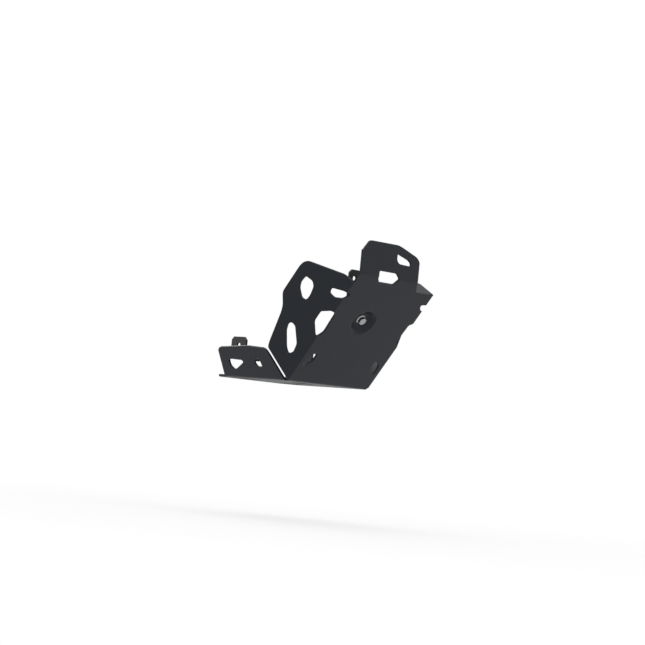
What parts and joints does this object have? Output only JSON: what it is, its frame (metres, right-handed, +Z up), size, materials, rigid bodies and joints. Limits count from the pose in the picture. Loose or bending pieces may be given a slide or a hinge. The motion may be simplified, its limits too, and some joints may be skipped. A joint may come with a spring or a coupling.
{
  "type": "motorcycle skid plate",
  "caption": "Folded and pressed aluminium skid plate for a motorcycle engine, with side wings, cut windows, and the brackets, bolts and spacers that carry it.",
  "frame": {"origin": "centre of the flat underside of the base panel, between the side folds and halfway from its rear edge to the front fold", "axes": "+X forwards along the machine, +Y to the machine's left, +Z up"},
  "size_m": [0.351, 0.292, 0.2445],
  "materials": {
    "powder_coat": "matte black powder coat on aluminium sheet",
    "zinc": "bright zinc plate",
    "bracket_steel": "satin black paint on steel",
    "rubber": "matte black"
  },
  "bodies": {
    "root": {"skid_plate": "powder_coat", "front_bracket": "bracket_steel", "rear_left_bracket": "bracket_steel", "rear_right_bracket": "bracket_steel", "front_bolt": "zinc", "front_washer": "zinc", "front_spacer": "zinc", "front_nut": "zinc", "front_rubber_washer": "rubber", "rear_left_bolt": "zinc", "rear_left_washer": "zinc", "rear_left_spacer": "zinc", "rear_left_nut": "zinc", "rear_left_rubber_washer": "rubber", "rear_right_bolt": "zinc", "rear_right_washer": "zinc", "rear_right_spacer": "zinc", "rear_right_nut": "zinc", "rear_right_rubber_washer": "rubber"}
  },
  "joints": []
}
